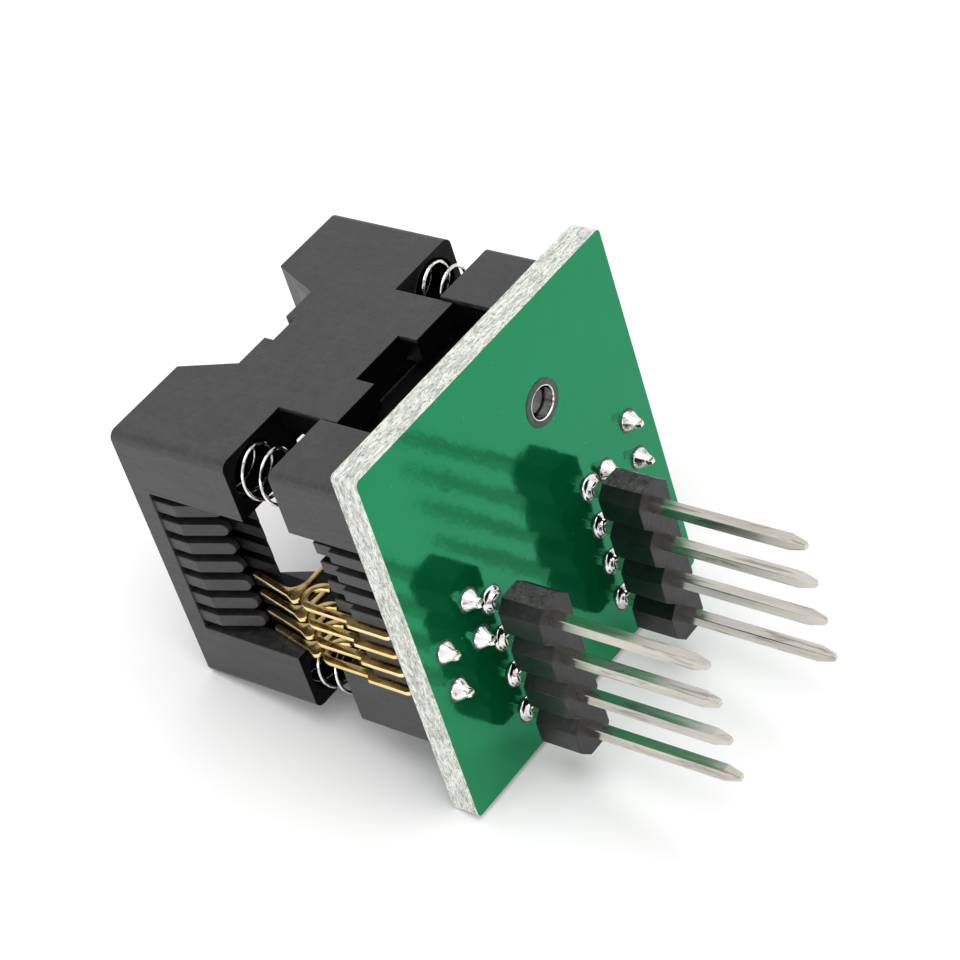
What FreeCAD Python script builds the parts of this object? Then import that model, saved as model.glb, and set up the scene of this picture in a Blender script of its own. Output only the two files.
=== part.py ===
import FreeCAD
import Part
import Sketcher
import math
import os
import re
from FreeCAD import Placement, Rotation, Vector

# Open-top test socket on a small board with two rows of plug pins underneath.
# Every piece is drawn as the adapter is used: X across the pin rows, Y along them,
# Z up from the underside of the board, with pin one of both rows at Y = 0.
# The finished pieces are then laid down on their long side, as the adapter rests on a table.

os.makedirs("parts", exist_ok=True)
doc = FreeCAD.newDocument("ic_socket_adapter")
sheet = doc.addObject("Spreadsheet::Sheet", "Sizes")

SIZES = {
    # board
    "board_across": 20.4,
    "board_along": 22.65,
    "board_thickness": 1.6,
    "board_corner": 0.3,
    "board_ahead": 12.35,
    "board_shift": 0.15,
    # plug rows
    "pin_pitch": 2.54,
    "row_spacing": 8.89,
    "pin_side": 0.64,
    "pin_reach": 13.2,
    "pin_stub": 0.3,
    "pin_taper": 0.7,
    "pin_tip": 0.3,
    "pin_hole": 1.0,
    "header_width": 2.5,
    "header_height": 2.54,
    "header_standoff": 1.55,
    "header_bevel": 0.62,
    "collar_radius": 0.75,
    "collar_top": 0.48,
    "collar_height": 0.6,
    # locating hole
    "hole_bore": 1.8,
    "hole_across": 3.0,
    "hole_ahead": 6.84,
    "ring_outer": 2.56,
    "ring_thickness": 0.05,
    "post_clearance": 0.15,
    "post_recess": 0.6,
    # contacts
    "contact_pitch": 1.27,
    "contact_sheet": 0.3,
    "slot_clearance": 0.125,
    "socket_ahead": 1.905,
    "inner_column": 5.9,
    "outer_column": 8.44,
    "tail_width": 0.5,
    "tail_hole": 0.8,
    "tail_reach": 0.95,
    "cone_radius": 0.6,
    "cone_top": 0.33,
    "cone_height": 0.72,
    "stem_lower": 9.75,
    "stem_upper": 9.5,
    "stem_inner": 8.9,
    "stem_foot": 0.5,
    "stem_step": 4.95,
    "bow_outer": 0.95,
    "bow_strip": 0.4,
    "bow_height": 7.65,
    "pivot_across": 9.05,
    "pivot_height": 8.85,
    "knuckle_radius": 0.28,
    "strip_width": 0.34,
    "lever_length": 3.5,
    "lever_lean": 12.5,
    "finger_inner": 2.9,
    "nose_width": 0.4,
    "nose_drop": 0.55,
    # base
    "base_across": 18.8,
    "base_along": 17.0,
    "base_top": 6.9,
    "base_gap": 0.5,
    "base_corner": 0.45,
    "foot_across": 7.0,
    "foot_along": 13.6,
    "slot_inner": 5.3,
    "rib_inner": 6.4,
    "rib_drop": 1.1,
    "rib_setback": 0.3,
    "rib_step": 4.6,
    "recess_depth": 2.0,
    "seat_across": 6.4,
    "seat_along": 11.0,
    "seat_height": 1.0,
    "chip_across": 4.1,
    "chip_along": 5.3,
    "chip_depth": 0.5,
    # cover
    "cover_across": 19.2,
    "cover_along": 16.8,
    "cover_bottom": 9.8,
    "cover_top": 17.5,
    "cover_corner": 0.5,
    "window_across": 9.2,
    "window_along": 12.0,
    "notch_shift": 0.3,
    "notch_top": 8.7,
    "notch_across": 6.1,
    "notch_floor": 14.3,
    "key_across": 1.8,
    "key_depth": 0.6,
    "tongue_across": 9.8,
    "tongue_thickness": 1.5,
    "tongue_tip": 6.0,
    "tongue_notch": 3.6,
    "tongue_notch_depth": 1.2,
    "tongue_clearance": 0.15,
    "field_top": 16.3,
    "field_break": 14.95,
    "field_inset": 0.08,
    "rib_end": 12.5,
    "rib_end_inset": 0.95,
    "comb_inset": 1.4,
    "comb_lift": 0.55,
    "comb_roof": 15.5,
    "slot_depth": 2.3,
    "cam_inner": 8.3,
    "cam_outer": 8.9,
    "cam_ceiling": 13.35,
    # springs
    "spring_across": 15.2,
    "spring_margin": 0.28,
    "spring_outer": 3.0,
    "spring_wire": 0.24,
    "spring_pitch": 1.2,
    "spring_room": 0.1,
    "base_pocket": 3.0,
    "cover_pocket": 4.5,
}
PINS_PER_ROW = 4
SLOTS_PER_SIDE = 8
CONTACTS_PER_SIDE = 4

for line, (alias, value) in enumerate(SIZES.items(), start=1):
    sheet.set("A%d" % line, alias)
    sheet.set("B%d" % line, str(value))
    sheet.setAlias("B%d" % line, alias)
doc.recompute()


def formula(text):
    """A formula written with the plain size names, as the document's own expression."""
    def named(word):
        return "Sizes." + word.group(0) if word.group(0) in SIZES else word.group(0)
    return re.sub(r"[a-z][a-z_]*", named, str(text))


def bind(thing, prop, text):
    thing.setExpression(prop, formula(text))


def place(thing, x=0, y=0, z=0):
    for axis, text in (("x", x), ("y", y), ("z", z)):
        bind(thing, "Placement.Base." + axis, text)


def box(name, low, span):
    """A block from its low corner and its three lengths, each one a formula."""
    block = doc.addObject("Part::Box", name)
    for prop, text in zip(("Length", "Width", "Height"), span):
        bind(block, prop, text)
    place(block, *low)
    return block


def cylinder(name, radius, height, x, y, z):
    rod = doc.addObject("Part::Cylinder", name)
    bind(rod, "Radius", radius)
    bind(rod, "Height", height)
    place(rod, x, y, z)
    return rod


def rod_along_y(name, radius, length, x, z):
    """A cylinder that lies along Y, centred on Y = 0."""
    rod = doc.addObject("Part::Cylinder", name)
    bind(rod, "Radius", radius)
    bind(rod, "Height", length)
    rod.Placement = Placement(Vector(), Rotation(Vector(1, 0, 0), -90))
    place(rod, x, "-(%s) / 2" % length, z)
    return rod


def fuse(name, shapes):
    whole = doc.addObject("Part::MultiFuse", name)
    whole.Shapes = shapes
    whole.Refine = True
    return whole


def cut(name, base, tool):
    rest = doc.addObject("Part::Cut", name)
    rest.Base = base
    rest.Tool = tool
    rest.Refine = True
    return rest


def origin(body, role):
    return [part for part in body.Origin.OriginFeatures if part.Role == role][0]


def sketch(body, name, plane, offset="0"):
    drawing = body.newObject("Sketcher::SketchObject", name)
    drawing.AttachmentSupport = (origin(body, plane), [""])
    drawing.MapMode = "FlatFace"
    bind(drawing, "AttachmentOffset.Base.z", offset)
    return drawing


def fix_point(drawing, edge, end, key, across, up):
    """Holds one point of an edge at a place given by two formulas."""
    for kind, tag, text in (("DistanceX", "across_", across), ("DistanceY", "up_", up)):
        now = value_of(text)
        number = drawing.addConstraint(Sketcher.Constraint(kind, -1, 1, edge, end, now))
        drawing.renameConstraint(number, tag + key)
        drawing.setExpression("Constraints." + tag + key, formula(text))


def value_of(text):
    """The present value of a formula, as a first guess for the sketch."""
    words = re.sub(r"[a-z][a-z_]*", lambda word: repr(SIZES[word.group(0)]), str(text))
    return float(FreeCAD.Units.Quantity(words.replace(" ", "")).Value) if words.strip() else 0.0


def polygon(drawing, corners, key="p"):
    """A closed outline through corners whose coordinates are formulas."""
    points = [Vector(value_of(a), value_of(b), 0) for a, b in corners]
    first = drawing.GeometryCount
    for start, end in zip(points, points[1:] + points[:1]):
        drawing.addGeometry(Part.LineSegment(start, end), False)
    count = len(points)
    for step in range(count):
        after = (step + 1) % count
        drawing.addConstraint(Sketcher.Constraint("Coincident", first + step, 2, first + after, 1))
    for step, (across, up) in enumerate(corners):
        fix_point(drawing, first + step, 1, "%s%d" % (key, step), across, up)


def ring(drawing, radius, across, up, key):
    """A circle whose radius and centre are formulas."""
    edge = drawing.addGeometry(Part.Circle(Vector(value_of(across), value_of(up), 0), Vector(0, 0, 1),
                                           value_of(radius)), False)
    number = drawing.addConstraint(Sketcher.Constraint("Radius", edge, value_of(radius)))
    drawing.renameConstraint(number, "radius_" + key)
    drawing.setExpression("Constraints.radius_" + key, formula(radius))
    fix_point(drawing, edge, 3, key, across, up)


def rectangle(drawing, half_across, low, high, key="p", middle="0"):
    """A rectangle about a middle line, between two heights."""
    left = "(%s) - (%s)" % (middle, half_across)
    right = "(%s) + (%s)" % (middle, half_across)
    polygon(drawing, [(left, low), (right, low), (right, high), (left, high)], key)


def pad(body, drawing, length, both=False):
    solid = body.newObject("PartDesign::Pad", drawing.Name + "_pad")
    solid.Profile = drawing
    bind(solid, "Length", length)
    solid.Midplane = both
    drawing.Visibility = False
    return solid


def pocket(body, drawing, length, both=False, reverse=False):
    hollow = body.newObject("PartDesign::Pocket", drawing.Name + "_cut")
    hollow.Profile = drawing
    bind(hollow, "Length", length)
    hollow.Midplane = both
    hollow.Reversed = reverse
    return hollow


def row_of(body, feature, spacing, count):
    """Repeats a feature along Y."""
    row = body.newObject("PartDesign::LinearPattern", feature.Name + "_row")
    row.Originals = [feature]
    row.Direction = (origin(body, "Y_Axis"), [""])
    bind(row, "Length", "(%s) * %d" % (spacing, count - 1))
    row.Occurrences = count
    body.Tip = row
    return row


def round_uprights(body, feature, radius, count=4):
    """Rounds the outermost upright edges of a feature."""
    doc.recompute()
    upright = []
    for number, edge in enumerate(feature.Shape.Edges, start=1):
        run = edge.Vertexes[-1].Point - edge.Vertexes[0].Point
        if abs(run.z) > 0.9 * edge.Length:
            middle = edge.CenterOfMass
            out = abs(middle.x) + abs(middle.y - feature.Shape.CenterOfMass.y)
            upright.append((out, "Edge%d" % number))
    upright.sort(reverse=True)
    rounding = body.newObject("PartDesign::Fillet", feature.Name + "_round")
    rounding.Base = (feature, [name for _, name in upright[:count]])
    bind(rounding, "Radius", radius)
    return rounding


slot_width = "(contact_sheet + 2 * slot_clearance)"
first_slot = "(-socket_ahead - contact_pitch * %s)" % ((SLOTS_PER_SIDE - 1) / 2)
field_half = "(contact_pitch * %s + %s / 2)" % ((SLOTS_PER_SIDE - 1) / 2, slot_width)
middle_y = "(-socket_ahead)"
base_floor = "(board_thickness + base_gap)"
row_x = {"near": "(-row_spacing / 2)", "far": "(row_spacing / 2)"}
finished = []


def finish(thing, label, where=None):
    thing.Label = label
    finished.append((thing, where or Placement()))


# board: a routed blank with plated holes for the pins, the contact tails and the socket's post
board = doc.addObject("PartDesign::Body", "board")
outline = sketch(board, "board_outline", "XY_Plane")
rectangle(outline, "board_across / 2", "-board_ahead", "board_along - board_ahead", middle="board_shift")
blank = pad(board, outline, "board_thickness")
round_uprights(board, blank, "board_corner")
holes = sketch(board, "board_holes", "XY_Plane")
for side, x in row_x.items():
    for pin in range(PINS_PER_ROW):
        ring(holes, "pin_hole / 2", x, "pin_pitch * %d" % pin, "%s%d" % (side, pin))
ring(holes, "hole_bore / 2", "hole_across", "-hole_ahead", "post")


def contact_y(number):
    """Place along the row of a fitted contact, counted from the first fitted slot."""
    slot = SLOTS_PER_SIDE - CONTACTS_PER_SIDE + number
    return "(%s + contact_pitch * %d)" % (first_slot, slot)


def tail_x(side, number):
    """The tails leave the base in two staggered columns, the other way round on each side."""
    inner = (number % 2 == 0) == (side == "left")
    return "inner_column" if inner else "outer_column"


for side, sign in (("left", "-"), ("right", "")):
    for number in range(CONTACTS_PER_SIDE):
        column = sign + tail_x(side, number)
        ring(holes, "tail_hole / 2", column, contact_y(number), "%s%d" % (side, number))
pocket(board, holes, "board_thickness", reverse=True)
finish(board, "board")

# bare copper ring about the locating hole
ring_disc = cylinder("hole_ring_disc", "ring_outer / 2", "ring_thickness", "hole_across", "-hole_ahead",
                     "-ring_thickness")
ring_bore = cylinder("hole_ring_bore", "hole_bore / 2", "ring_thickness", "hole_across", "-hole_ahead",
                     "-ring_thickness")
finish(cut("hole_ring", ring_disc, ring_bore), "hole_ring")

# header strips: a chain of bevelled cells, one for each pin, held clear of the board
for side, x in row_x.items():
    strip = doc.addObject("PartDesign::Body", "header_%s" % side)
    cell = sketch(strip, "cell_%s" % side, "XY_Plane", "-header_standoff - header_height")
    half, notch = "header_width / 2", "(header_width / 2 - header_bevel)"
    end, shoulder = "pin_pitch / 2", "(pin_pitch / 2 - header_bevel)"
    polygon(cell, [("%s - %s" % (x, notch), "-" + end), ("%s + %s" % (x, notch), "-" + end),
                   ("%s + %s" % (x, half), "-" + shoulder), ("%s + %s" % (x, half), shoulder),
                   ("%s + %s" % (x, notch), end), ("%s - %s" % (x, notch), end),
                   ("%s - %s" % (x, half), shoulder), ("%s - %s" % (x, half), "-" + shoulder)])
    row_of(strip, pad(strip, cell, "header_height"), "pin_pitch", PINS_PER_ROW)
    bore = sketch(strip, "bore_%s" % side, "XY_Plane", "-header_standoff - header_height")
    rectangle(bore, "pin_side / 2", "-pin_side / 2", "pin_side / 2", middle=x)
    row_of(strip, pocket(strip, bore, "header_height", reverse=True), "pin_pitch", PINS_PER_ROW)
    finish(strip, "header_%s" % side)

    for pin in range(PINS_PER_ROW):
        tag = "%s_%d" % (side, pin + 1)
        y = "pin_pitch * %d" % pin
        shank_top = "board_thickness + pin_stub"
        corner = ("%s - pin_side / 2" % x, "%s - pin_side / 2" % y)
        shank = box("shank_" + tag, corner + ("pin_taper - pin_reach",),
                    ("pin_side", "pin_side", "%s + pin_reach - pin_taper" % shank_top))
        point = doc.addObject("Part::Wedge", "point_" + tag)
        for axis in "XZ":
            bind(point, axis + "min", "-pin_side / 2")
            bind(point, axis + "max", "pin_side / 2")
            bind(point, axis + "2min", "-pin_tip / 2")
            bind(point, axis + "2max", "pin_tip / 2")
        bind(point, "Ymin", "0")
        bind(point, "Ymax", "pin_taper")
        point.Placement = Placement(Vector(), Rotation(Vector(1, 0, 0), -90))
        place(point, x, y, "pin_taper - pin_reach")
        finish(fuse("pin_" + tag, [shank, point]), "pin_" + tag)

        collar = doc.addObject("Part::Cone", "collar_body_" + tag)
        bind(collar, "Radius1", "collar_top")
        bind(collar, "Radius2", "collar_radius")
        bind(collar, "Height", "collar_height")
        place(collar, x, y, "-collar_height")
        through = box("collar_bore_" + tag, corner + ("-collar_height",),
                      ("pin_side", "pin_side", "collar_height"))
        finish(cut("pin_solder_" + tag, collar, through), "pin_solder_" + tag)

# socket base: a slotted block on a foot, with a post that finds the board's hole
base = doc.addObject("PartDesign::Body", "socket_base")
plan = sketch(base, "base_plan", "XY_Plane", base_floor)
rectangle(plan, "base_across / 2", "%s - base_along / 2" % middle_y, "%s + base_along / 2" % middle_y)
block = pad(base, plan, "base_top - %s" % base_floor)
round_uprights(base, block, "base_corner")
sole = sketch(base, "base_foot", "XY_Plane", "board_thickness")
rectangle(sole, "foot_across / 2", "%s - foot_along / 2" % middle_y, "%s + foot_along / 2" % middle_y)
pad(base, sole, "base_gap")
peg = sketch(base, "base_post", "XY_Plane", "post_recess")
ring(peg, "hole_bore / 2 - post_clearance", "hole_across", "-hole_ahead", "peg")
pad(base, peg, "board_thickness - post_recess")
seat = sketch(base, "base_seat", "XY_Plane", "base_top")
rectangle(seat, "seat_across / 2", "%s - seat_along / 2" % middle_y, "%s + seat_along / 2" % middle_y)
pad(base, seat, "seat_height")
chip = sketch(base, "chip_bed", "XY_Plane", "base_top + seat_height")
rectangle(chip, "chip_across / 2", "%s - chip_along / 2" % middle_y, "%s + chip_along / 2" % middle_y)
pocket(base, chip, "chip_depth")
for end, sign in (("low", "-"), ("high", "+")):
    gap = sketch(base, "base_recess_" + end, "XY_Plane", "base_top")
    outer = "%s %s base_along / 2" % (middle_y, sign)
    inner = "%s %s (base_along / 2 - recess_depth)" % (middle_y, sign)
    half = "tongue_across / 2 + tongue_clearance"
    corners = [("-(%s)" % half, outer), (half, outer), (half, inner), ("-(%s)" % half, inner)]
    polygon(gap, corners if sign == "+" else corners[::-1])
    pocket(base, gap, "base_top - %s" % base_floor)
for side, sign in (("left", "-"), ("right", "")):
    def across(text, sign=sign):
        return "%s(%s)" % (sign, text)

    ledge = sketch(base, "rib_ledge_" + side, "XZ_Plane", "socket_ahead")
    polygon(ledge, [(across("rib_inner"), "base_top"), (across("base_across / 2"), "base_top"),
                    (across("base_across / 2"), "rib_step"),
                    (across("base_across / 2 - rib_setback"), "rib_step"),
                    (across("base_across / 2 - rib_setback"), "base_top - rib_drop"),
                    (across("rib_inner"), "base_top - rib_drop")])
    pocket(base, ledge, "2 * %s" % field_half, both=True)
    slot = sketch(base, "base_slot_" + side, "XZ_Plane", "-(%s)" % first_slot)
    polygon(slot, [(across("slot_inner"), base_floor), (across("base_across / 2"), base_floor),
                   (across("base_across / 2"), "base_top"), (across("slot_inner"), "base_top")])
    row_of(base, pocket(base, slot, slot_width, both=True), "contact_pitch", SLOTS_PER_SIDE)

# the springs stand outside the contacts' slots, at a margin from them
spring_corners = [(x, y) for x in ("-", "+") for y in ("-", "+")]
spring_out = "(%s + spring_margin + spring_outer / 2)" % field_half
wells = sketch(base, "spring_wells", "XY_Plane", "base_top")
for number, (x, y) in enumerate(spring_corners):
    ring(wells, "spring_outer / 2 + spring_room", "0 %s spring_across / 2" % x,
         "%s %s %s" % (middle_y, y, spring_out), "w%d" % number)
pocket(base, wells, "base_pocket")
finish(base, "socket_base")

# cover: a rising frame with a window for the chip, a comb of slots for the contact levers,
# spring wells at its corners and a tongue at each end that slides in the base
cover = doc.addObject("PartDesign::Body", "cover")
plan = sketch(cover, "cover_plan", "XY_Plane", "cover_bottom")
rectangle(plan, "cover_across / 2", "%s - cover_along / 2" % middle_y, "%s + cover_along / 2" % middle_y)
round_uprights(cover, pad(cover, plan, "cover_top - cover_bottom"), "cover_corner")
window = sketch(cover, "cover_window", "XY_Plane", "cover_top")
rectangle(window, "window_across / 2", "%s - window_along / 2" % middle_y,
          "%s + window_along / 2" % middle_y)
pocket(cover, window, "cover_top - cover_bottom")
mouth = sketch(cover, "cover_mouth", "XZ_Plane", "socket_ahead")
polygon(mouth, [("notch_shift - notch_across / 2", "notch_floor"),
                ("notch_shift - key_across / 2", "notch_floor"),
                ("notch_shift - key_across / 2", "notch_floor - key_depth"),
                ("notch_shift + key_across / 2", "notch_floor - key_depth"),
                ("notch_shift + key_across / 2", "notch_floor"),
                ("notch_shift + notch_across / 2", "notch_floor"),
                ("notch_shift + notch_top / 2", "cover_top"),
                ("notch_shift - notch_top / 2", "cover_top")])
pocket(cover, mouth, "cover_along", both=True)
for end, sign in (("low", "-"), ("high", "+")):
    inward = "+" if sign == "-" else "-"
    flap = sketch(cover, "tongue_" + end, "XZ_Plane",
                  "socket_ahead %s (cover_along / 2 - tongue_thickness / 2)" % inward)
    polygon(flap, [("-tongue_across / 2", "cover_bottom"), ("-tongue_across / 2", "tongue_tip"),
                   ("-tongue_notch / 2", "tongue_tip"),
                   ("-tongue_notch / 2", "tongue_tip + tongue_notch_depth"),
                   ("tongue_notch / 2", "tongue_tip + tongue_notch_depth"),
                   ("tongue_notch / 2", "tongue_tip"),
                   ("tongue_across / 2", "tongue_tip"), ("tongue_across / 2", "cover_bottom")])
    pad(cover, flap, "tongue_thickness", both=True)
for side, sign in (("left", "-"), ("right", "")):
    def across(text, sign=sign):
        return "%s(%s)" % (sign, text)

    field = sketch(cover, "field_" + side, "XZ_Plane", "socket_ahead")
    polygon(field, [(across("cover_across / 2"), "field_top"),
                    (across("cover_across / 2 - comb_inset"), "field_top"),
                    (across("cover_across / 2 - comb_inset"), "cover_bottom"),
                    (across("cover_across / 2"), "cover_bottom")])
    pocket(cover, field, "2 * %s" % field_half, both=True)
    rib = sketch(cover, "rib_" + side, "YZ_Plane", across("cover_across / 2 - field_inset"))
    half = "(contact_pitch - %s) / 2" % slot_width
    rib_y = "(%s + contact_pitch / 2)" % first_slot
    low, high = value_of("rib_end") + value_of(half), value_of("field_top")
    left_y, right_y = value_of("%s - %s" % (rib_y, half)), value_of("%s + %s" % (rib_y, half))
    rib.addGeometry(Part.LineSegment(Vector(left_y, high, 0), Vector(left_y, low, 0)), False)
    lowest = Vector((left_y + right_y) / 2, value_of("rib_end"), 0)
    rib.addGeometry(Part.Arc(Vector(left_y, low, 0), lowest, Vector(right_y, low, 0)), False)
    rib.addGeometry(Part.LineSegment(Vector(right_y, low, 0), Vector(right_y, high, 0)), False)
    rib.addGeometry(Part.LineSegment(Vector(right_y, high, 0), Vector(left_y, high, 0)), False)
    rib.addConstraint(Sketcher.Constraint("Coincident", 0, 2, 1, 1))
    rib.addConstraint(Sketcher.Constraint("Coincident", 1, 2, 2, 1))
    rib.addConstraint(Sketcher.Constraint("Coincident", 2, 2, 3, 1))
    rib.addConstraint(Sketcher.Constraint("Coincident", 3, 2, 0, 1))
    fix_point(rib, 0, 1, "a", "%s - %s" % (rib_y, half), "field_top")
    fix_point(rib, 0, 2, "b", "%s - %s" % (rib_y, half), "rib_end + %s" % half)
    fix_point(rib, 2, 1, "c", "%s + %s" % (rib_y, half), "rib_end + %s" % half)
    fix_point(rib, 2, 2, "d", "%s + %s" % (rib_y, half), "field_top")
    number = rib.addConstraint(Sketcher.Constraint("DistanceY", -1, 1, 1, 3, low))
    rib.renameConstraint(number, "tip_centre")
    rib.setExpression("Constraints.tip_centre", formula("rib_end + %s" % half))
    bar = pad(cover, rib, "comb_inset - field_inset")
    bar.Reversed = side == "right"
    row_of(cover, bar, "contact_pitch", SLOTS_PER_SIDE - 1)
    slope = sketch(cover, "slope_" + side, "XZ_Plane", "socket_ahead")
    polygon(slope, [(across("cover_across / 2 - field_inset"), "field_break"),
                    (across("cover_across / 2 - rib_end_inset"), "rib_end"),
                    (across("cover_across / 2 - rib_end_inset"), "cover_bottom"),
                    (across("cover_across / 2"), "cover_bottom"),
                    (across("cover_across / 2"), "field_break")])
    pocket(cover, slope, "2 * %s" % field_half, both=True)
    lift = sketch(cover, "comb_lift_" + side, "XZ_Plane", "socket_ahead")
    polygon(lift, [(across("window_across / 2"), "cover_bottom"),
                   (across("cover_across / 2 - comb_inset"), "cover_bottom"),
                   (across("cover_across / 2 - comb_inset"), "cover_bottom + comb_lift"),
                   (across("window_across / 2"), "comb_roof")])
    pocket(cover, lift, "2 * %s" % field_half, both=True)
    slot = sketch(cover, "cover_slot_" + side, "XZ_Plane", "-(%s)" % first_slot)
    polygon(slot, [(across("cam_inner - slot_depth"), "cover_bottom"),
                   (across("cam_inner - slot_depth"), "cam_ceiling"),
                   (across("cam_inner"), "cam_ceiling"),
                   (across("cam_outer"), "field_break"), (across("cam_outer"), "field_top"),
                   (across("cover_across / 2"), "field_top"),
                   (across("cover_across / 2"), "cover_bottom")])
    row_of(cover, pocket(cover, slot, slot_width, both=True), "contact_pitch", SLOTS_PER_SIDE)
wells = sketch(cover, "cover_wells", "XY_Plane", "cover_bottom")
for number, (x, y) in enumerate(spring_corners):
    ring(wells, "spring_outer / 2 + spring_room", "0 %s spring_across / 2" % x,
         "%s %s %s" % (middle_y, y, spring_out), "w%d" % number)
pocket(cover, wells, "cover_pocket", reverse=True)
finish(cover, "cover")

# contacts: a stem with a bowed top that stays in the base, and a lever with a finger that swings open
for side, turn in (("left", 180), ("right", 0)):
    for number in range(CONTACTS_PER_SIDE):
        tag = "%s_%d" % (side, number + 1)
        column = tail_x(side, number)
        half = "contact_sheet / 2"
        plate = box("plate_" + tag, ("stem_inner", "-" + half, base_floor),
                    ("stem_lower - stem_inner", "contact_sheet", "stem_step - %s" % base_floor))
        riser = box("riser_" + tag, ("stem_upper - bow_strip", "-" + half, "stem_step"),
                    ("bow_strip", "contact_sheet", "bow_height - stem_step"))
        foot = box("foot_" + tag, ("%s - tail_width / 2" % column, "-" + half, base_floor),
                   ("stem_inner - %s + tail_width / 2" % column, "contact_sheet", "stem_foot"))
        tail = box("tail_" + tag, ("%s - tail_width / 2" % column, "-" + half, "-tail_reach"),
                   ("tail_width", "contact_sheet", "tail_reach + %s" % base_floor))
        bow_x = "stem_upper - bow_outer"
        outer = rod_along_y("bow_outer_" + tag, "bow_outer", "contact_sheet", bow_x, "bow_height")
        inner = rod_along_y("bow_inner_" + tag, "bow_outer - bow_strip", "contact_sheet",
                            bow_x, "bow_height")
        below = box("bow_below_" + tag, ("%s - bow_outer" % bow_x, "-" + half, "bow_height - bow_outer"),
                    ("2 * bow_outer", "contact_sheet", "bow_outer"))
        bow = cut("bow_" + tag, cut("bow_ring_" + tag, outer, inner), below)
        stem = fuse("contact_stem_" + tag, [plate, riser, foot, tail, bow])
        spot = Placement(Vector(0, value_of(contact_y(number)), 0), Rotation(Vector(0, 0, 1), turn))
        finish(stem, "contact_stem_" + tag, spot)

        knuckle = rod_along_y("knuckle_" + tag, "knuckle_radius", "contact_sheet",
                              "pivot_across", "pivot_height")
        lever = box("lever_" + tag, (0, "-" + half, 0), ("strip_width", "contact_sheet", "lever_length"))
        lever.Placement = Placement(Vector(), Rotation(Vector(0, -1, 0), SIZES["lever_lean"]))
        bind(lever, "Placement.Rotation.Angle", "lever_lean")
        place(lever, "pivot_across - strip_width / 2", "-" + half, "pivot_height")
        finger = box("finger_" + tag, ("finger_inner", "-" + half, "pivot_height - strip_width / 2"),
                     ("pivot_across - finger_inner", "contact_sheet", "strip_width"))
        nose = box("nose_" + tag, ("finger_inner", "-" + half, "pivot_height - nose_drop"),
                   ("nose_width", "contact_sheet", "nose_drop"))
        arm = fuse("contact_lever_" + tag, [knuckle, lever, finger, nose])
        finish(arm, "contact_lever_" + tag, spot)

        cone = doc.addObject("Part::Cone", "cone_" + tag)
        bind(cone, "Radius1", "cone_top")
        bind(cone, "Radius2", "cone_radius")
        bind(cone, "Height", "cone_height")
        place(cone, column, 0, "-cone_height")
        through = box("cone_bore_" + tag,
                      ("%s - tail_width / 2" % column, "-" + half, "-cone_height"),
                      ("tail_width", "contact_sheet", "cone_height"))
        finish(cut("tail_solder_" + tag, cone, through), "tail_solder_" + tag, spot)

# return springs: open coils between a well in the base and a well in the cover
for x, y in spring_corners:
    tag = ("left" if x == "-" else "right") + ("_ahead" if y == "-" else "_back")
    coil = doc.addObject("Part::Helix", "coil_" + tag)
    bind(coil, "Radius", "(spring_outer - spring_wire) / 2")
    bind(coil, "Pitch", "spring_pitch")
    bind(coil, "Height", "cover_bottom + cover_pocket - base_top + base_pocket - spring_wire")
    # the wire is drawn with eight sides, which meshes far more lightly than a round one
    wire = doc.addObject("Part::RegularPolygon", "wire_" + tag)
    wire.Polygon = 8
    bind(wire, "Circumradius", "spring_wire / 2")
    wire.Placement = Placement(Vector(), Rotation(Vector(1, 0, 0), 90))
    place(wire, "(spring_outer - spring_wire) / 2", 0, 0)
    doc.recompute()
    spring = doc.addObject("Part::Sweep", "spring_" + tag)
    spring.Sections = [wire]
    spring.Spine = (coil, ["Edge%d" % (turn + 1) for turn in range(len(coil.Shape.Edges))])
    spring.Solid = True
    spring.Frenet = True
    corner = Vector(value_of("0 %s spring_across / 2" % x),
                    value_of("%s %s %s" % (middle_y, y, spring_out)),
                    value_of("base_top - base_pocket + spring_wire / 2"))
    finish(spring, "spring_" + tag, Placement(corner, Rotation()))

doc.recompute()

# lay the adapter on its long side: the board's rear edge and the cover's rear edge touch the table
rear_board = Vector(0, value_of("board_along - board_ahead"), value_of("board_thickness"))
rear_cover = Vector(0, value_of("cover_along / 2 - socket_ahead"), value_of("cover_top"))
slant = math.degrees(math.atan2(rear_board.y - rear_cover.y, rear_cover.z - rear_board.z))
onto_side = Rotation(Vector(0, 1, 0), Vector(0, 0, -1), Vector(-1, 0, 0), "XYZ")
lying = Rotation(Vector(0, 1, 0), -slant).multiply(onto_side)
loose = Placement(Vector(), lying)
corners = []
for thing, where in finished:
    shape = thing.Shape.copy()
    shape.Placement = loose.multiply(where).multiply(shape.Placement)
    corners.append(shape.optimalBoundingBox(True, False))
low = Vector(min(b.XMin for b in corners), min(b.YMin for b in corners), min(b.ZMin for b in corners))
high = Vector(max(b.XMax for b in corners), max(b.YMax for b in corners), max(b.ZMax for b in corners))
rest = Placement(Vector(-(low.x + high.x) / 2, -(low.y + high.y) / 2, -low.z), lying)
for thing, where in finished:
    thing.Placement = rest.multiply(where)
doc.recompute()

failed = [thing.Label for thing in doc.Objects if "Invalid" in thing.State or "Error" in thing.State]
for thing, where in finished:
    if thing.Shape.isNull() or not thing.Shape.isValid() or len(thing.Shape.Solids) != 1:
        failed.append("%s (%d solids)" % (thing.Label, len(thing.Shape.Solids)))
if failed:
    raise RuntimeError("failed: " + ", ".join(failed))
for thing, where in finished:
    thing.Shape.exportStep("parts/%s.step" % thing.Label)

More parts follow.
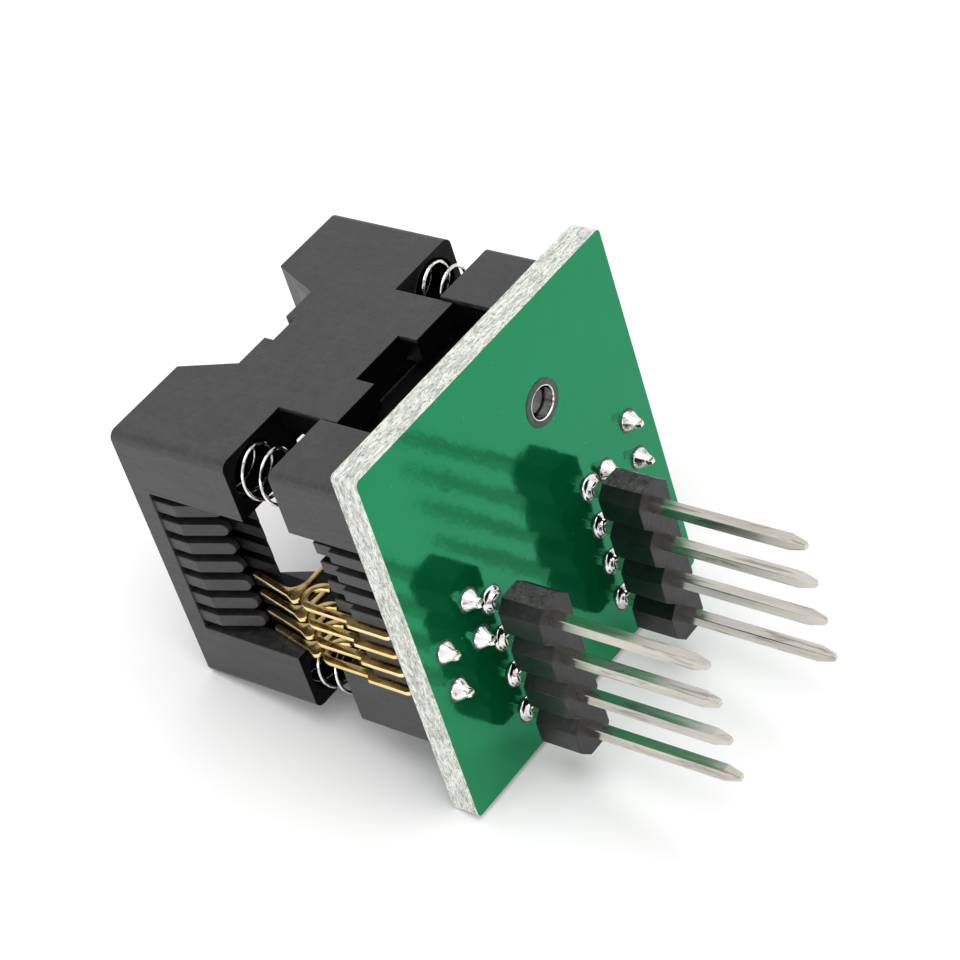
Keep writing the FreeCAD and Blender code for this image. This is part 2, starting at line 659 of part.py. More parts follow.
print("pieces", len(finished), "slant", round(slant, 4))
print("box", [round(v, 4) for v in (high.x - low.x, high.y - low.y, high.z - low.z)])
marks = {
    "pin_one": Vector(0, 0, 0),
    "pivot_right": Vector(SIZES["pivot_across"], 0, SIZES["pivot_height"]),
    "pivot_left": Vector(-SIZES["pivot_across"], 0, SIZES["pivot_height"]),
    "cover_face": Vector(0, -SIZES["socket_ahead"], SIZES["cover_top"]),
    "pin_tips": Vector(0, 0, -SIZES["pin_reach"]),
}
for name, point in marks.items():
    print(name, [round(v, 4) for v in rest.multVec(point)])
for name, axis in (("across", Vector(1, 0, 0)), ("along", Vector(0, 1, 0)), ("up", Vector(0, 0, 1))):
    print(name, [round(v, 6) for v in lying.multVec(axis)])
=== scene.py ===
import math
import bmesh
import bpy
from mathutils import Matrix, Vector, noise


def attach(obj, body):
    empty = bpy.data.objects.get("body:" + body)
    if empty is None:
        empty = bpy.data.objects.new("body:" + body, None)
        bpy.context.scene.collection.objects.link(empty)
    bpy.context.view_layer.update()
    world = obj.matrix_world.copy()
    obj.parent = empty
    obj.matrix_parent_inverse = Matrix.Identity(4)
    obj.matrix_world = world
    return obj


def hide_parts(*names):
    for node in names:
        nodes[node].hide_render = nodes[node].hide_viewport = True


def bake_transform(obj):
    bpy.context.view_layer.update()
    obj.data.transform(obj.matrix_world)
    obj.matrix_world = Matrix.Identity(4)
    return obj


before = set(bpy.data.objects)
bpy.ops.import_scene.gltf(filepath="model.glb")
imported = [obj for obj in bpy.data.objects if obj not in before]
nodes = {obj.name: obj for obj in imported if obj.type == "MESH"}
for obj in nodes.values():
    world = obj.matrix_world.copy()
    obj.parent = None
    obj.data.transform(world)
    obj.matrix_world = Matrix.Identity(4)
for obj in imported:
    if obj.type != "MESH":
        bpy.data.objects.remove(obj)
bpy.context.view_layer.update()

# the adapter's own axes in the row frame: across the pin rows, along them, and up from the board
lean = math.radians(13.4582)
across = Vector((0, 1, 0))
along = Vector((math.sin(lean), 0, -math.cos(lean)))
up = Vector((-math.cos(lean), 0, -math.sin(lean)))
pinOne = Vector((2.386, -0.15, 10.3895))  # millimetres
mm = 0.001
turnToRow = Matrix((across, along, up)).transposed().to_4x4()
toRow = Matrix.Translation(pinOne * mm) @ turnToRow @ Matrix.Scale(mm, 4)


# shader helpers
class Shade:
    def __init__(self, name):
        self.material = bpy.data.materials.new(name)
        self.material.use_nodes = True
        self.nodes = self.material.node_tree.nodes
        self.links = self.material.node_tree.links
        self.skin = self.nodes["Principled BSDF"]
        self.point = None

    def add(self, kind, **values):
        node = self.nodes.new("ShaderNode" + kind)
        for key, value in values.items():
            setattr(node, key, value)
        return node

    def wire(self, source, target):
        if isinstance(source, bpy.types.NodeSocket):
            self.links.new(source, target)
        else:
            target.default_value = source

    def own(self):  # the point in the adapter's own axes, in millimetres
        if self.point is None:
            self.point = self.turned(self.add("TexCoord").outputs["Object"], pinOne * mm, 1 / mm)
        return self.point

    def turned(self, vector, middle, scale):
        moved = self.add("VectorMath", operation="SUBTRACT")
        self.wire(vector, moved.inputs[0])
        moved.inputs[1].default_value = middle
        parts = self.add("CombineXYZ")
        for axis, target in zip((across, along, up), parts.inputs):
            dot = self.add("VectorMath", operation="DOT_PRODUCT")
            self.wire(moved.outputs[0], dot.inputs[0])
            dot.inputs[1].default_value = axis * scale
            self.wire(dot.outputs["Value"], target)
        return parts.outputs[0]

    def split(self, vector):
        node = self.add("SeparateXYZ")
        self.wire(vector, node.inputs[0])
        return node.outputs

    def facing(self, axis):  # 1 where the surface faces along this axis of the adapter, either way
        normal = self.turned(self.add("TexCoord").outputs["Normal"], Vector(), 1)
        return self.math("ABSOLUTE", self.split(normal)[axis])

    def math(self, operation, a, b=0.0):
        node = self.add("Math", operation=operation)
        self.wire(a, node.inputs[0])
        self.wire(b, node.inputs[1])
        return node.outputs[0]

    def stretched(self, x, y, z):
        node = self.add("VectorMath", operation="MULTIPLY")
        self.wire(self.own(), node.inputs[0])
        node.inputs[1].default_value = (x, y, z)
        return node.outputs[0]

    def noise(self, scale, detail=4.0, rough=0.55, vector=None, twist=0.0):
        node = self.add("TexNoise")
        self.wire(vector or self.own(), node.inputs["Vector"])
        node.inputs["Scale"].default_value = scale
        node.inputs["Detail"].default_value = detail
        node.inputs["Roughness"].default_value = rough
        node.inputs["Distortion"].default_value = twist
        return node.outputs["Fac"]

    def cells(self, scale):
        node = self.add("TexVoronoi")
        self.wire(self.own(), node.inputs["Vector"])
        node.inputs["Scale"].default_value = scale
        return node.outputs["Distance"]

    def span(self, value, low, high, start=0.0, end=1.0):
        node = self.add("MapRange", clamp=True)
        for entry, target in zip((value, low, high, start, end), node.inputs):
            self.wire(entry, target)
        return node.outputs[0]

    def mix(self, factor, a, b):
        node = self.add("Mix", data_type="RGBA")
        self.wire(factor, node.inputs["Factor"])
        for value, target in ((a, node.inputs[6]), (b, node.inputs[7])):
            self.wire(value if isinstance(value, bpy.types.NodeSocket) else (*value, 1), target)
        return node.outputs[2]

    def bump(self, height, distance, strength=1.0, under=None):  # distance in millimetres
        node = self.add("Bump")
        self.wire(height, node.inputs["Height"])
        node.inputs["Distance"].default_value = distance * mm
        node.inputs["Strength"].default_value = strength
        if under is not None:
            self.wire(under, node.inputs["Normal"])
        return node.outputs[0]

    def zone(self, *limits):  # 1 inside a box about the socket's middle; each limit is axis, low, high
        x, y, z = self.split(self.own())[:3]
        values = {"x": self.math("ABSOLUTE", x), "z": z,
                  "y": self.math("ABSOLUTE", self.math("ADD", y, 1.905))}
        inside = 1.0
        for axis, low, high in limits:
            above = self.span(values[axis], low - 0.05, low + 0.05)
            below = self.span(values[axis], high - 0.05, high + 0.05, 1.0, 0.0)
            inside = self.math("MULTIPLY", inside, self.math("MULTIPLY", above, below))
        return inside

    def worn(self, radius):  # edges look rounded by this radius in millimetres
        node = self.add("Bevel", samples=8)
        node.inputs["Radius"].default_value = radius * mm
        return node.outputs[0]

    def set(self, **values):
        names = {"colour": "Base Color", "rough": "Roughness", "metal": "Metallic", "normal": "Normal",
                 "ior": "IOR", "specular": "Specular IOR Level", "tint": "Specular Tint"}
        for key, value in values.items():
            self.wire((*value, 1) if isinstance(value, tuple) else value, self.skin.inputs[names[key]])
        return self.material


# moulded plastic: dull mottled skin, a little dust, edges worn round, and painted shade that turns the
# insides and the cover's underside near black
def plastic(name, look):
    s = Shade(name)
    cloud = s.noise(0.55, 5, 0.62)
    blotch = s.noise(1.7, 5, 0.72, twist=0.8)
    grain = s.noise(11.0, 3, 0.6)
    shade = s.mix(s.span(blotch, 0.38, 0.64), look["dark"], look["pale"])
    shade = s.mix(s.span(cloud, 0.36, 0.66, 0.0, 0.55), shade, look["dark"])
    shade = s.mix(s.span(grain, 0.45, 0.62, 0.0, 0.45), shade, look["pale"])
    dust = s.span(s.cells(3.4), 0.02, 0.06, 0.45, 0.0)
    shade = s.mix(dust, shade, look["dust"])
    # painted shade: recesses inside the base and cover, and faces across the board low on the cover, are
    # darkened to near black and their reflections turned down
    hollow = 0.0
    for limits in look["hollows"]:
        hollow = s.math("MAXIMUM", hollow, s.zone(*limits))
    under = s.math("MULTIPLY", s.zone(("z", -5, look["under"])), s.span(s.facing(2), 0.75, 0.85))
    hollow = s.math("MAXIMUM", hollow, under)
    shade = s.mix(hollow, shade, look["hollow"])
    post = s.zone(("z", 0.0, 1.5))
    shade = s.mix(post, shade, look["post"])
    drag = s.noise(3.0, 4, 0.7, s.stretched(1.0, 1.0, 0.12))
    gloss = s.math("ADD", s.span(blotch, 0.3, 0.7, look["rough"] - 0.09, look["rough"] + 0.09),
                   s.span(drag, 0.35, 0.7, -0.05, 0.05))
    relief = s.bump(grain, look["grain"], 0.8, s.worn(look["edge"]))
    relief = s.bump(blotch, 0.05, 0.35, relief)
    shine = s.span(hollow, 0, 1, look["specular"], 0.08)
    return s.set(colour=shade, rough=gloss, normal=relief, specular=shine)


# the listed boxes and the under height mark where painted shade darkens the plastic
mouldLook = {"dark": (0.009, 0.009, 0.010), "pale": (0.030, 0.031, 0.031), "dust": (0.085, 0.086, 0.082),
             "hollow": (0.0022, 0.0020, 0.0024), "post": (0.11, 0.11, 0.11), "under": -4.0, "rough": 0.44,
             "grain": 0.018, "edge": 0.09, "specular": 0.5,
             "hollows": ((("x", -1, 9.0), ("y", -1, 4.75), ("z", 1.7, 6.8)),
                         (("x", -1, 5.0), ("y", 6.3, 9.0), ("z", 1.7, 6.8)),
                         (("x", -1, 9.3), ("y", 4.9, 8.25), ("z", 3.7, 6.8)))}
coverLook = dict(mouldLook, dark=(0.010, 0.010, 0.011), pale=(0.032, 0.032, 0.031), edge=0.10, under=11.0,
                 hollows=((("x", -1, 8.35), ("y", -1, 5.9), ("z", 5.0, 16.35)),
                          (("x", -1, 9.3), ("y", 4.9, 8.2), ("z", 5.0, 14.15))))
mouldBlack = plastic("mouldBlack", mouldLook)
coverBlack = plastic("coverBlack", coverLook)


# header plastic: smoother and darker, rough and pale where the strip was sheared off
def headerSkin(look):
    s = Shade("headerBlack")
    place = s.split(s.own())
    fromMiddle = s.math("ABSOLUTE", s.math("SUBTRACT", place[1], look["middle"]))
    sheared = s.span(fromMiddle, look["end"] - 0.06, look["end"] - 0.02)
    torn = s.noise(3.4, 5, 0.7, twist=0.8)
    fine = s.noise(12.0, 3, 0.6)
    cloud = s.noise(0.9, 4, 0.6)
    shade = s.mix(s.span(cloud, 0.35, 0.7), look["dark"], look["pale"])
    shade = s.mix(s.math("MULTIPLY", sheared, s.span(torn, 0.35, 0.65)), shade, look["torn"])
    gloss = s.mix(sheared, (look["rough"],) * 3, (look["tornRough"],) * 3)
    relief = s.bump(s.math("MULTIPLY", torn, sheared), 0.20, 0.9, s.worn(look["edge"]))
    relief = s.bump(fine, 0.016, 0.7, relief)
    relief = s.bump(cloud, 0.10, 0.4, relief)
    return s.set(colour=shade, rough=gloss, normal=relief, specular=look["specular"])


headerLook = {"middle": 3.81, "end": 5.08, "edge": 0.07, "dark": (0.0025, 0.0025, 0.003),
              "pale": (0.009, 0.009, 0.009), "torn": (0.075, 0.073, 0.070), "rough": 0.30,
              "tornRough": 0.62, "specular": 0.42}
headerBlack = headerSkin(headerLook)


# board: glossy solder mask on its two faces, and bare granular fibreglass on its routed edge
def boardSkin(look):
    s = Shade("boardSkin")
    flat = s.span(s.facing(2), 0.85, 0.95)
    cloud = s.noise(0.30, 3, 0.5)
    mask = s.mix(s.span(cloud, 0.3, 0.7), look["mask"], look["maskPale"])
    fleck = s.span(s.cells(0.85), 0.012, 0.05, 0.55, 0.0)
    mask = s.mix(fleck, mask, look["fleck"])
    scratch = s.noise(1.6, 2, 0.4, s.stretched(0.35, 3.2, 1.0), 1.8)
    mask = s.mix(s.span(scratch, 0.77, 0.80, 0.0, 0.35), mask, look["fleck"])
    layers = s.noise(2.4, 6, 0.75, s.stretched(0.55, 0.55, 2.4), 0.6)
    crumbs = s.noise(5.5, 5, 0.78, s.stretched(0.5, 0.5, 1.5), 0.4)
    edge = s.mix(s.span(layers, 0.42, 0.56), look["fibreDark"], look["fibre"])
    edge = s.mix(s.span(crumbs, 0.52, 0.60, 0.0, 0.85), edge, look["fibreGap"])
    colour = s.mix(flat, edge, mask)
    rough = s.span(flat, 0, 1, 0.75, look["gloss"])
    tint = s.mix(flat, (1, 1, 1), look["tint"])
    optic = s.span(flat, 0, 1, 1.45, look["ior"])
    wave = s.bump(s.noise(0.45, 3, 0.55), 0.05, 0.4)
    relief = s.bump(s.math("MULTIPLY", s.math("SUBTRACT", 1.0, flat), crumbs), 0.10, 0.9, wave)
    return s.set(colour=colour, rough=rough, normal=relief, ior=optic, tint=tint)


boardLook = {"mask": (0.0, 0.066, 0.018), "maskPale": (0.0, 0.082, 0.025), "fleck": (0.16, 0.42, 0.26),
             "fibre": (0.80, 0.82, 0.76), "fibreDark": (0.46, 0.48, 0.44), "fibreGap": (0.16, 0.18, 0.15),
             "gloss": 0.10, "tint": (0.0, 1.0, 0.42), "ior": 2.35}
boardMaterial = boardSkin(boardLook)


# metals: drawn, plated or soldered, each with its own streaks; the solder's brown streaks are painted
# reflections
def metal(name, look):
    s = Shade(name)
    cloud = s.noise(look["size"], 4, 0.6, s.stretched(*look["drawn"]))
    streak = s.noise(look["size"] * 2.2, 3, 0.6, s.stretched(*look["drawn"]), 0.5)
    colour = s.mix(s.span(cloud, 0.32, 0.66), look["low"], look["high"])
    colour = s.mix(s.span(streak, 0.56, 0.66, 0.0, look["stainAndPaintedReflection"]), colour, look["brown"])
    gloss = s.span(cloud, 0.3, 0.7, look["rough"] * 0.7, look["rough"] * 1.4)
    relief = s.bump(cloud, look["relief"], 0.4)
    return s.set(colour=colour, rough=gloss, metal=1.0, normal=relief)


drawnDown = (1.0, 1.0, 0.10)
pinLook = {"low": (0.50, 0.47, 0.42), "high": (0.66, 0.63, 0.57), "brown": (0.14, 0.09, 0.07), "stainAndPaintedReflection": 0.5,
           "rough": 0.17, "size": 1.6, "relief": 0.002, "drawn": drawnDown}
# the solder's brown-purple streaks are painted reflections of the dark parts around it
solderLook = {"low": (0.70, 0.69, 0.68), "high": (0.93, 0.93, 0.93), "brown": (0.26, 0.15, 0.15),
              "stainAndPaintedReflection": 0.9, "rough": 0.12, "size": 1.1, "relief": 0.012, "drawn": (1.0, 1.0, 0.12)}
edgeLook = {"low": (0.92, 0.68, 0.24), "high": (1.0, 0.88, 0.50), "brown": (0.45, 0.26, 0.08), "stainAndPaintedReflection": 0.2,
            "rough": 0.22, "size": 1.6, "relief": 0.01, "drawn": (0.5, 1.0, 0.5)}
# the broad faces of the contact sheets are a darker, browner copy of the edges' gold: painted shade, as if
# in the shadow of the slots
sheetPaintedShadeLook = {"low": (0.42, 0.28, 0.10), "high": (0.74, 0.54, 0.22), "brown": (0.13, 0.07, 0.045),
             "stainAndPaintedReflection": 0.7, "rough": 0.28, "size": 1.1, "relief": 0.02, "drawn": (0.5, 1.0, 0.8)}
springLook = {"low": (0.55, 0.53, 0.51), "high": (0.90, 0.89, 0.87), "brown": (0.14, 0.11, 0.10),
              "stainAndPaintedReflection": 0.6, "rough": 0.14, "size": 1.4, "relief": 0.004, "drawn": (1.0, 1.0, 1.0)}
ringLook = {"low": (0.055, 0.085, 0.068), "high": (0.12, 0.16, 0.135), "brown": (0.03, 0.04, 0.035),
            "stainAndPaintedReflection": 0.6, "rough": 0.50, "size": 1.6, "relief": 0.02, "drawn": (1.0, 1.0, 1.0)}
pinMetal = metal("pinMetal", pinLook)
solderMetal = metal("solderMetal", solderLook)
goldEdge = metal("goldEdge", edgeLook)
goldSheetPaintedShade = metal("goldSheetPaintedShade", sheetPaintedShadeLook)
springMetal = metal("springMetal", springLook)
ringMetal = metal("ringMetal", ringLook)

# the first start that fits a node's name gives its finish, so pin_solder comes before pin_
finishes = {"board": boardMaterial, "hole_ring": ringMetal, "header": headerBlack,
            "socket_base": mouldBlack, "cover": coverBlack, "pin_solder": solderMetal, "pin_": pinMetal,
            "tail_solder": solderMetal, "contact": goldSheetPaintedShade, "spring": springMetal}
for name, node in nodes.items():
    start = next(start for start in finishes if name.startswith(start))
    node.data.materials.clear()
    node.data.materials.append(finishes[start])
print("materials done")


# finishing of every piece built here, from the adapter's own axes and millimetres to the row frame
def finished(name, bm, materials, body=None, stands=(), crease=32):
    bmesh.ops.remove_doubles(bm, verts=bm.verts, dist=0.0005)
    bmesh.ops.recalc_face_normals(bm, faces=bm.faces)
    bmesh.ops.transform(bm, matrix=toRow, verts=bm.verts)
    mesh = bpy.data.meshes.new(name)
    bm.to_mesh(mesh)
    bm.free()
    obj = bpy.data.objects.new(name, mesh)
    bpy.context.scene.collection.objects.link(obj)
    for material in materials:
        mesh.materials.append(material)
    mesh.polygons.foreach_set("use_smooth", [True] * len(mesh.polygons))
    mesh.set_sharp_from_angle(angle=math.radians(crease))
    if body:
        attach(obj, body)
    if stands:
        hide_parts(*stands)
    return obj


def arc(middle, radius, start, end, count):
    turn = math.radians(end - start) / count
    angles = [math.radians(start) + turn * step for step in range(count + 1)]
    return [(middle[0] + radius * math.cos(a), middle[1] + radius * math.sin(a)) for a in angles]


def curve(a, b, c, count):  # a soft bend from a to c, pulled towards b
    line = []
    for step in range(count + 1):
        t = step / count
        line.append(tuple((1 - t) ** 2 * p + 2 * t * (1 - t) * q + t * t * r for p, q, r in zip(a, b, c)))
    return line


def stamped(outline, y, thick, rim):  # a sheet cut to an outline, its rims rounded
    bm = bmesh.new()
    face = bm.faces.new([bm.verts.new((x, y - thick / 2, z)) for x, z in outline])
    grown = bmesh.ops.extrude_face_region(bm, geom=[face])["geom"]
    farSide = [v for v in grown if isinstance(v, bmesh.types.BMVert)]
    bmesh.ops.translate(bm, vec=(0, thick, 0), verts=farSide)
    rims = [e for e in bm.edges if abs(e.verts[0].co.y - e.verts[1].co.y) < 1e-6]
    bmesh.ops.bevel(bm, geom=rims, offset=rim, segments=2, profile=0.5, affect="EDGES")
    bm.normal_update()
    # the broad faces take the gold darkened as painted shade
    for face in bm.faces:  # 0 cut edge, 1 broad face, 2 tinned tail
        height = face.calc_center_median().z
        level = abs(face.normal.z) > 0.9
        face.material_index = 1 if abs(face.normal.y) > 0.9 else 0
        if height < contact["tinned"] or (level and height < 0):
            face.material_index = 2
    return bm


# contacts: the bowed stem stays in the base, the lever swings
contact = {
    "rows": (-1.27, 0.0, 1.27, 2.54), "sheet": 0.24, "rim": 0.03,
    "columns": (5.9, 8.44), "tailHalf": 0.25, "tailEnd": -0.95, "foot": (2.1, 2.6),
    "plate": (8.9, 9.75), "plateTop": 4.95, "riser": (9.1, 9.5), "bow": (8.55, 7.65),
    "bowRadii": (0.95, 0.55), "pivot": (9.05, 8.85), "knuckle": 0.28, "strip": 0.17,
    "length": 3.5, "lean": 12.5, "finger": (2.9, 8.68, 9.02), "nose": (3.3, 8.30),
    "tipCut": (0.12, 0.16), "shoulder": -0.3, "tinned": -0.4, "footBend": 0.3,
    "plateCorner": 0.12, "plateStep": 0.1, "riserFoot": 5.05, "noseCut": (0.1, 0.12),
}


def contactSpots():  # tag, sign of the side, number, distance from the middle, place along the rows
    for side, sign in (("left", -1), ("right", 1)):
        for number, y in enumerate(contact["rows"]):
            inner = (number % 2 == 0) == (side == "left")
            yield "%s_%d" % (side, number + 1), sign, number, contact["columns"][0 if inner else 1], y


def stemLine(column):
    low, high = column - contact["tailHalf"], column + contact["tailHalf"]
    tip, (footLow, footHigh) = contact["tailEnd"], contact["foot"]
    inner, outer = contact["plate"]
    riserIn, riserOut = contact["riser"]
    bow, (wide, narrow) = contact["bow"], contact["bowRadii"]
    cutIn, cutUp = contact["tipCut"]
    shoulder, bend, corner = contact["shoulder"], contact["footBend"], contact["plateCorner"]
    top, riserFoot = contact["plateTop"], contact["riserFoot"]
    line = [(low + cutIn, tip), (high - cutIn, tip), (high, tip + cutUp), (high, shoulder), (high, footLow)]
    line += arc((outer - bend, footLow + bend), bend, -90, 0, 6)
    line += [(outer, top - corner), (outer - corner, top), (riserOut, riserFoot)]
    line += arc(bow, wide, 0, 178, 22)
    line += arc((bow[0] - (wide + narrow) / 2, bow[1] - 0.02), (wide - narrow) / 2, 180, 358, 6)[1:-1]
    line += arc(bow, narrow, 178, 0, 18)
    line += [(riserIn, riserFoot), (inner, top - contact["plateStep"]), (inner, footHigh), (low, footHigh)]
    return line + [(low, shoulder), (low, tip + cutUp)]


def leverLine():
    x, z = contact["pivot"]
    angle = math.radians(contact["lean"])
    tall, wide = (-math.sin(angle), math.cos(angle)), (math.cos(angle), math.sin(angle))
    half = contact["strip"]

    def beside(out, rise):
        return (x + out * wide[0] + rise * tall[0], z + out * wide[1] + rise * tall[1])

    tip, low, top = contact["finger"]
    noseEnd, noseLow = contact["nose"]
    cutIn, cutUp = contact["noseCut"]
    line = [(tip, noseLow + cutUp), (tip + cutIn, noseLow)]
    line += [(noseEnd - cutIn, noseLow), (noseEnd, noseLow + cutUp)]
    line += [(noseEnd, low - 0.08), (noseEnd + 0.12, low), (x - 0.30, low)]
    line += arc((x, z), contact["knuckle"], -125, contact["lean"], 9)
    line += [beside(half, 0.5)]
    line += arc(beside(0, contact["length"] - half), half, contact["lean"], contact["lean"] + 180, 8)
    line += curve(beside(-half, 1.45), beside(-half, 0.25), (x - 1.5, top), 10)
    return line + [(tip + 0.25, top - 0.02), (tip, top - 0.14)]


for tag, sign, number, column, y in contactSpots():
    stem = stamped([(sign * x, z) for x, z in stemLine(column)], y, contact["sheet"], contact["rim"])
    finished("stem_" + tag, stem, (goldEdge, goldSheetPaintedShade, solderMetal), "base",
             ["contact_stem_" + tag])
    lever = stamped([(sign * x, z) for x, z in leverLine()], y, contact["sheet"], contact["rim"])
    finished("lever_" + tag, lever, (goldEdge, goldSheetPaintedShade), "lever_" + tag,
             ["contact_lever_" + tag])
print("contacts done")


def skinned(bm, rings, closed=True):  # faces from ring to ring, then caps, or a band back to the first
    bands = list(zip(rings, rings[1:]))
    if not closed:
        bands.append((rings[-1], rings[0]))
    for first, second in bands:
        for side in range(len(first)):
            after = (side + 1) % len(first)
            bm.faces.new((first[side], first[after], second[after], second[side]))
    if closed:
        bm.faces.new(rings[0])
        bm.faces.new(rings[-1])


# springs: open coils with closed ends, squeezed between the base and the cover
spring = {"across": 7.6, "middle": -1.905, "out": 6.5, "low": 3.9, "high": 14.3, "radius": 1.38,
          "wire": 0.095, "pitch": 1.2, "closed": 0.8, "sides": 10, "steps": 44}


def coil(x, y):
    bottom, top = spring["low"] + spring["wire"], spring["high"] - spring["wire"]
    turns = (top - bottom) / spring["pitch"]
    first, last = -spring["closed"], turns + spring["closed"]
    count = round((last - first) * spring["steps"])
    slope = spring["pitch"] * 0.25 / (spring["closed"] + 0.25)
    bm = bmesh.new()
    rings = []
    for step in range(count + 1):
        turn = first + (last - first) * step / count
        z = bottom + turn * spring["pitch"]
        z = max(z, bottom + (turn - first) * slope)
        z = min(z, top - (last - turn) * slope)
        angle = turn * math.tau
        out = Vector((math.cos(angle), math.sin(angle), 0))
        centre = Vector((x, y, z)) + out * spring["radius"]
        ringVerts = []
        for side in range(spring["sides"]):
            around = side / spring["sides"] * math.tau
            ringVerts.append(bm.verts.new(centre + out * (spring["wire"] * math.cos(around))
                                          + Vector((0, 0, spring["wire"] * math.sin(around)))))
        rings.append(ringVerts)
    skinned(bm, rings)
    return bm


for side, x in (("left", -spring["across"]), ("right", spring["across"])):
    for end, out in (("ahead", -spring["out"]), ("back", spring["out"])):
        y = spring["middle"] + out
        name = "%s_%s" % (side, end)
        wound = finished("coil_" + name, coil(x, y), (springMetal,), stands=["spring_" + name])
        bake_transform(wound)
print("springs done")


# turned shapes that aren't quite round: solder, pad rims and the hole's barrel
def turnedShape(bm, x, y, profile, sides, lump, seed, closed=True):
    rings = []
    for radius, z in profile:
        ringVerts = []
        for side in range(sides):
            angle = side / sides * math.tau
            place = Vector((math.cos(angle) * 1.3, math.sin(angle) * 1.3, z * 1.5 + seed * 7.0))
            uneven = 1 + lump * noise.noise(place)
            ringVerts.append(bm.verts.new((x + radius * uneven * math.cos(angle),
                                           y + radius * uneven * math.sin(angle), z)))
        rings.append(ringVerts)
    skinned(bm, rings, closed)


# solder on the tails: a plump foot that draws out along the tail
tailSolder = {"profile": ((0.60, 0.0), (0.612, -0.04), (0.60, -0.10), (0.55, -0.19), (0.475, -0.30),
                          (0.40, -0.42), (0.335, -0.54), (0.285, -0.66), (0.255, -0.76), (0.20, -0.79)),
              "sides": 36, "lump": 0.09}
for tag, sign, number, column, y in contactSpots():
    bm = bmesh.new()
    turnedShape(bm, sign * column, y, tailSolder["profile"], tailSolder["sides"], tailSolder["lump"],
                number + 5 * sign)
    finished("tailJoint_" + tag, bm, (solderMetal,), "base", ["tail_solder_" + tag], 60)

# solder on the pins: a low fillet
pinSolder = {"profile": ((0.74, 0.0), (0.745, -0.04), (0.71, -0.085), (0.62, -0.13), (0.54, -0.19),
                         (0.49, -0.27), (0.46, -0.36), (0.42, -0.40)),
             "sides": 36, "lump": 0.07}
pins = {"rows": {"near": -4.445, "far": 4.445}, "pitch": 2.54, "count": 4,
        "levels": ((1.90, 0.26, 0.05), (1.84, 0.32, 0.035), (-12.30, 0.32, 0.035), (-12.36, 0.315, 0.05),
                   (-13.05, 0.20, 0.05), (-13.17, 0.18, 0.05), (-13.20, 0.15, 0.05))}


def pinShape(x, y):
    bm = bmesh.new()
    loops = []
    for z, half, cut in pins["levels"]:
        inner = half - cut
        spots = ((inner, -half), (half, -inner), (half, inner), (inner, half),
                 (-inner, half), (-half, inner), (-half, -inner), (-inner, -half))
        loops.append([bm.verts.new((x + a, y + b, z)) for a, b in spots])
    skinned(bm, loops)
    return bm


for row, x in pins["rows"].items():
    for number in range(pins["count"]):
        y = pins["pitch"] * number
        tag = "%s_%d" % (row, number + 1)
        finished("plugPin_" + tag, pinShape(x, y), (pinMetal,), "base", ["pin_" + tag], 12)
        bm = bmesh.new()
        turnedShape(bm, x, y, pinSolder["profile"], pinSolder["sides"], pinSolder["lump"],
                    number + (11 if row == "near" else 23))
        finished("pinJoint_" + tag, bm, (solderMetal,), "base", ["pin_solder_" + tag], 60)
print("pins and solder done")


# the dark lip where the solder mask stops, around every pad
def lipSkin():
    s = Shade("maskLip")
    patch = s.noise(3.0, 4, 0.6)
    colour = s.mix(s.span(patch, 0.35, 0.65), (0.006, 0.030, 0.014), (0.035, 0.065, 0.045))
    return s.set(colour=colour, rough=s.span(patch, 0.3, 0.7, 0.12, 0.4), normal=s.bump(patch, 0.02, 0.5))


lips = {"height": 0.03, "sides": 40, "tail": (0.56, 0.70), "pin": (0.70, 0.82), "hole": (1.24, 1.31)}
lipMaterial = lipSkin()
bm = bmesh.new()


def lip(x, y, inner, outer, seed):
    crown = (inner + outer) / 2
    profile = ((inner, 0.01), (inner, -lips["height"] * 0.6), (crown, -lips["height"]),
               (outer - 0.03, -lips["height"] * 0.7), (outer, 0.01))
    turnedShape(bm, x, y, profile, lips["sides"], 0.03, seed, closed=False)


for tag, sign, number, column, y in contactSpots():
    lip(sign * column, y, *lips["tail"], number + 3 * sign)
for x in pins["rows"].values():
    for number in range(pins["count"]):
        lip(x, pins["pitch"] * number, *lips["pin"], number + x)
hole = {"x": 3.0, "y": -6.84, "bore": 0.9, "rim": 0.935}
lip(hole["x"], hole["y"], *lips["hole"], 4)
finished("maskLips", bm, (lipMaterial,), "base", crease=60)

# tinned barrel of the locating hole, with a bright rolled rim
barrel = bmesh.new()
turnedShape(barrel, hole["x"], hole["y"],
            ((hole["bore"], 1.5), (hole["bore"] - 0.03, 1.45), (hole["bore"] - 0.03, 0.02),
             (hole["bore"] - 0.015, -0.045), (hole["bore"] + 0.01, -0.06), (hole["rim"], -0.052),
             (hole["rim"], -0.02), (hole["bore"] + 0.01, 0.0)), 48, 0.015, 9, closed=False)
finished("holeBarrel", barrel, (solderMetal,), "base", crease=50)
print("board details done")

# camera as the photograph was taken
camera = bpy.data.objects.new("camera", bpy.data.cameras.new("camera"))
bpy.context.scene.collection.objects.link(camera)
cameraRight = Vector((0.816849, 0.573052, -0.066099))
cameraUp = Vector((-0.383979, 0.625663, 0.679048))
cameraBack = Vector((0.430485, -0.529299, 0.731113))
cameraPlace = Vector((66.92365, -83.92019, 128.71796))  # millimetres
cameraTurn = Matrix((cameraRight, cameraUp, cameraBack)).transposed().to_4x4()
camera.matrix_world = Matrix.Translation(cameraPlace * mm) @ cameraTurn
camera.data.lens = 117.862
camera.data.sensor_width = 36
camera.data.clip_start = 0.01
camera.data.clip_end = 5
bpy.context.scene.camera = camera

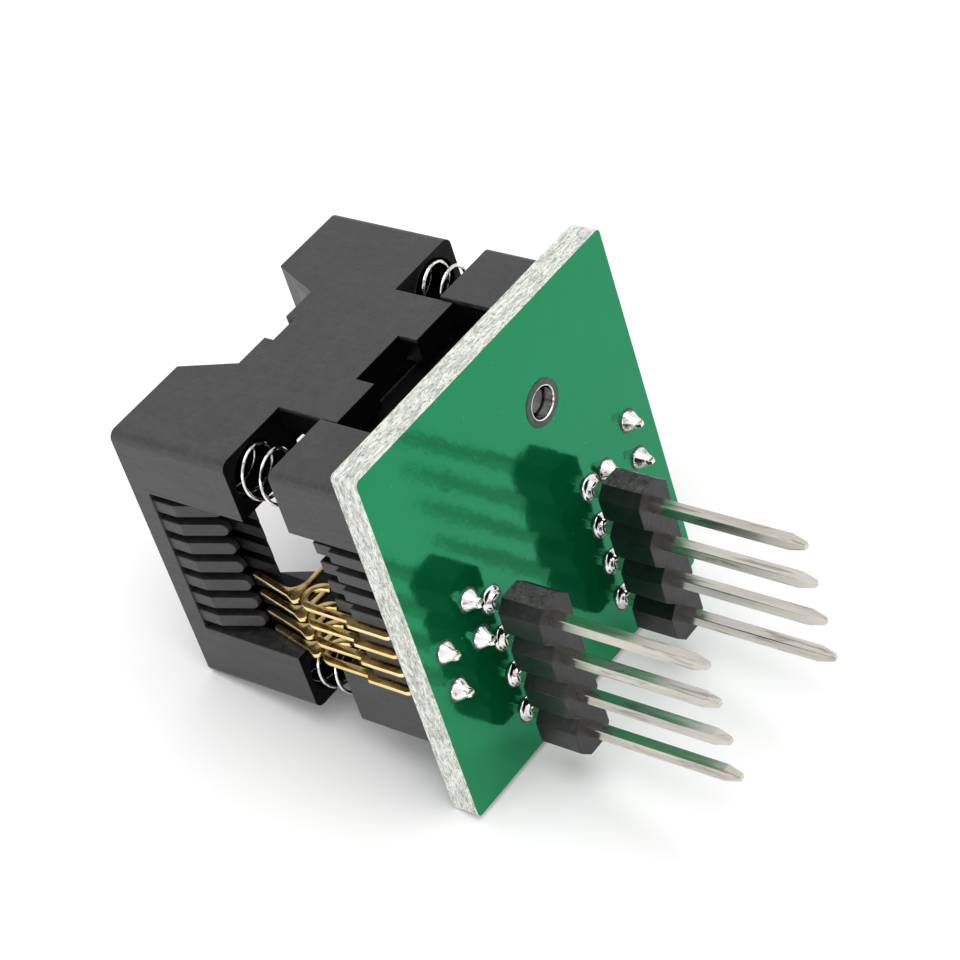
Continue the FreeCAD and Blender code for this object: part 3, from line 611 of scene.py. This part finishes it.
# white table and soft light
floorMesh = bpy.data.meshes.new("floor")
floorHalf = 0.6
floorMesh.from_pydata([(-floorHalf, -floorHalf, 0), (floorHalf, -floorHalf, 0), (floorHalf, floorHalf, 0),
                       (-floorHalf, floorHalf, 0)], [], [(0, 1, 2, 3)])
floor = bpy.data.objects.new("floor", floorMesh)
bpy.context.scene.collection.objects.link(floor)
table = Shade("table")
floorMesh.materials.append(table.set(colour=(0.88, 0.88, 0.88), rough=0.6, specular=0.2))

light = {"fill": 0.80, "overhead": 1.15, "side": 0.55}
world = bpy.data.worlds.new("studio")
bpy.context.scene.world = world
world.use_nodes = True
sky = world.node_tree
seen = sky.nodes["Background"]  # what the camera and the reflections see
seen.inputs["Color"].default_value = (1, 1, 1, 1)
seen.inputs["Strength"].default_value = 1.0
fill = sky.nodes.new("ShaderNodeBackground")  # what lights the surfaces
fill.inputs["Color"].default_value = (1, 1, 1, 1)
fill.inputs["Strength"].default_value = light["fill"]
path = sky.nodes.new("ShaderNodeLightPath")
share = path.outputs["Is Camera Ray"]
for ray in ("Is Glossy Ray", "Is Transmission Ray"):
    total = sky.nodes.new("ShaderNodeMath")
    total.operation = "ADD"
    total.use_clamp = True
    sky.links.new(share, total.inputs[0])
    sky.links.new(path.outputs[ray], total.inputs[1])
    share = total.outputs[0]
choose = sky.nodes.new("ShaderNodeMixShader")
sky.links.new(share, choose.inputs[0])
sky.links.new(fill.outputs[0], choose.inputs[1])
sky.links.new(seen.outputs[0], choose.inputs[2])
sky.links.new(choose.outputs[0], sky.nodes["World Output"].inputs["Surface"])


def lamp(name, place, aim, wide, power):
    data = bpy.data.lights.new(name, "AREA")
    data.shape = "RECTANGLE"
    data.size = wide[0]
    data.size_y = wide[1]
    data.energy = power
    obj = bpy.data.objects.new(name, data)
    bpy.context.scene.collection.objects.link(obj)
    obj.location = place
    obj.rotation_mode = "QUATERNION"
    obj.rotation_quaternion = (Vector(aim) - Vector(place)).to_track_quat("-Z", "Y")


lamp("overhead", (0.02, 0.0, 0.42), (0, 0, 0), (0.40, 0.40), light["overhead"])
lamp("side", (-0.10, -0.42, 0.12), (-0.005, 0, 0.01), (0.30, 0.14), light["side"])
bpy.context.scene.view_settings.view_transform = "Standard"

print("scene done")
